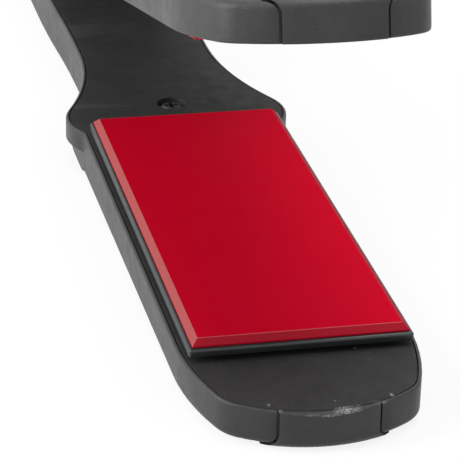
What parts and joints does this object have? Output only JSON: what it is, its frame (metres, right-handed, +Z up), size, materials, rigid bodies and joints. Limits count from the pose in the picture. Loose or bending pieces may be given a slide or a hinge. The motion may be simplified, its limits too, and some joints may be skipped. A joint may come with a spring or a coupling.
{
  "type": "hair straightener",
  "caption": "Open hair straightener: two hinged arms with floating red plates, waisted handle, rounded tip and a cord gland at the hinge.",
  "frame": {"origin": "on the lower arm's flat outer panel, on which the iron rests, below the ears", "axes": "+Z up out of the rest face, -Y from the hinge towards the tip, +X along the hinge axis"},
  "size_m": [0.0488, 0.2833, 0.079],
  "materials": {
    "shell": "semi-gloss moulded dark grey plastic",
    "panel": "gloss lacquered dark grey plastic",
    "deck": "fine matte texture",
    "trim": "gloss",
    "plate": "red ceramic-filled coating, semi-gloss",
    "carrier": "gloss heat-resistant plastic",
    "heater": "fired alumina",
    "insulator": "amber polyimide sheet",
    "spring_steel": "plain drawn",
    "lead": "silicone rubber sleeve",
    "sensor": "dipped bead",
    "fuse": "bright can",
    "screw": "black zinc",
    "pin": "ground",
    "gland": "matte",
    "board": "solder-masked laminate",
    "dial": "satin",
    "component_body": "moulded",
    "button": "gloss",
    "lens": "clear red",
    "diode": "clear red",
    "capacitor": "gloss"
  },
  "bodies": {
    "lower_arm": {"lower_outer_shell": "shell", "lower_outer_panel": "panel", "lower_deck": "deck", "lower_deck_screws": "screw", "lower_float_springs": "spring_steel", "lower_leads": "lead", "control_board": "board", "board_screws": "screw", "button_switch": "component_body", "potentiometer": "component_body", "indicator_lens": "lens", "indicator_diode": "diode", "mains_capacitor": "capacitor", "triac": "component_body", "hinge_cover": "shell", "hinge_pin": "pin", "hinge_spring": "spring_steel"},
    "lower_plate_unit": {"lower_plate": "plate", "lower_plate_carrier": "carrier", "lower_heater": "heater", "lower_insulator": "insulator", "lower_heater_clip": "spring_steel", "thermistor": "sensor"},
    "upper_arm": {"upper_outer_shell": "shell", "upper_outer_panel": "panel", "upper_deck": "deck", "upper_deck_screws": "screw", "upper_float_springs": "spring_steel", "upper_leads": "lead", "left_hinge_cap": "trim", "right_hinge_cap": "trim"},
    "upper_plate_unit": {"upper_plate": "plate", "upper_plate_carrier": "carrier", "upper_heater": "heater", "upper_insulator": "insulator", "upper_heater_clip": "spring_steel", "thermal_fuse": "fuse"},
    "button": {"power_button": "button"},
    "dial": {"temperature_dial": "dial"},
    "gland": {"cord_gland": "gland"}
  },
  "joints": [
    {"name": "arm_hinge", "type": "hinge", "parent": "lower_arm", "child": "upper_arm", "pos_m": [0, 0.115, 0.01653], "axis": [1, 0, 0], "range_deg": [0, 13.4], "stiffness_Nm_per_rad": 0.5, "springref_deg": -45.84, "deforming": ["hinge_spring"]},
    {"name": "lower_plate_float", "type": "slide", "parent": "lower_arm", "child": "lower_plate_unit", "axis": [0, 0.0209, -0.9998], "range_m": [0, 0.0006], "stiffness_N_per_m": 3000, "springref_m": -0.00125, "deforming": ["lower_float_springs", "lower_leads"]},
    {"name": "upper_plate_float", "type": "slide", "parent": "upper_arm", "child": "upper_plate_unit", "axis": [0, 0.2147, 0.9767], "range_m": [0, 0.0006], "stiffness_N_per_m": 3000, "springref_m": -0.00125, "deforming": ["upper_float_springs", "upper_leads"]},
    {"name": "power_button_press", "type": "slide", "parent": "lower_arm", "child": "button", "axis": [0, 0.0209, -0.9998], "range_m": [0, 0.0005], "stiffness_N_per_m": 300, "springref_m": -0.0005},
    {"name": "temperature_dial_turn", "type": "hinge", "parent": "lower_arm", "child": "dial", "pos_m": [0.005, 0.08801, 0.01596], "axis": [0, -0.0209, 0.9998], "range_deg": [-135, 135]},
    {"name": "cord_gland_swivel", "type": "hinge", "parent": "lower_arm", "child": "gland", "pos_m": [0, 0.139, 0.01703], "axis": [0, 0.9998, 0.0209], "continuous": true}
  ]
}
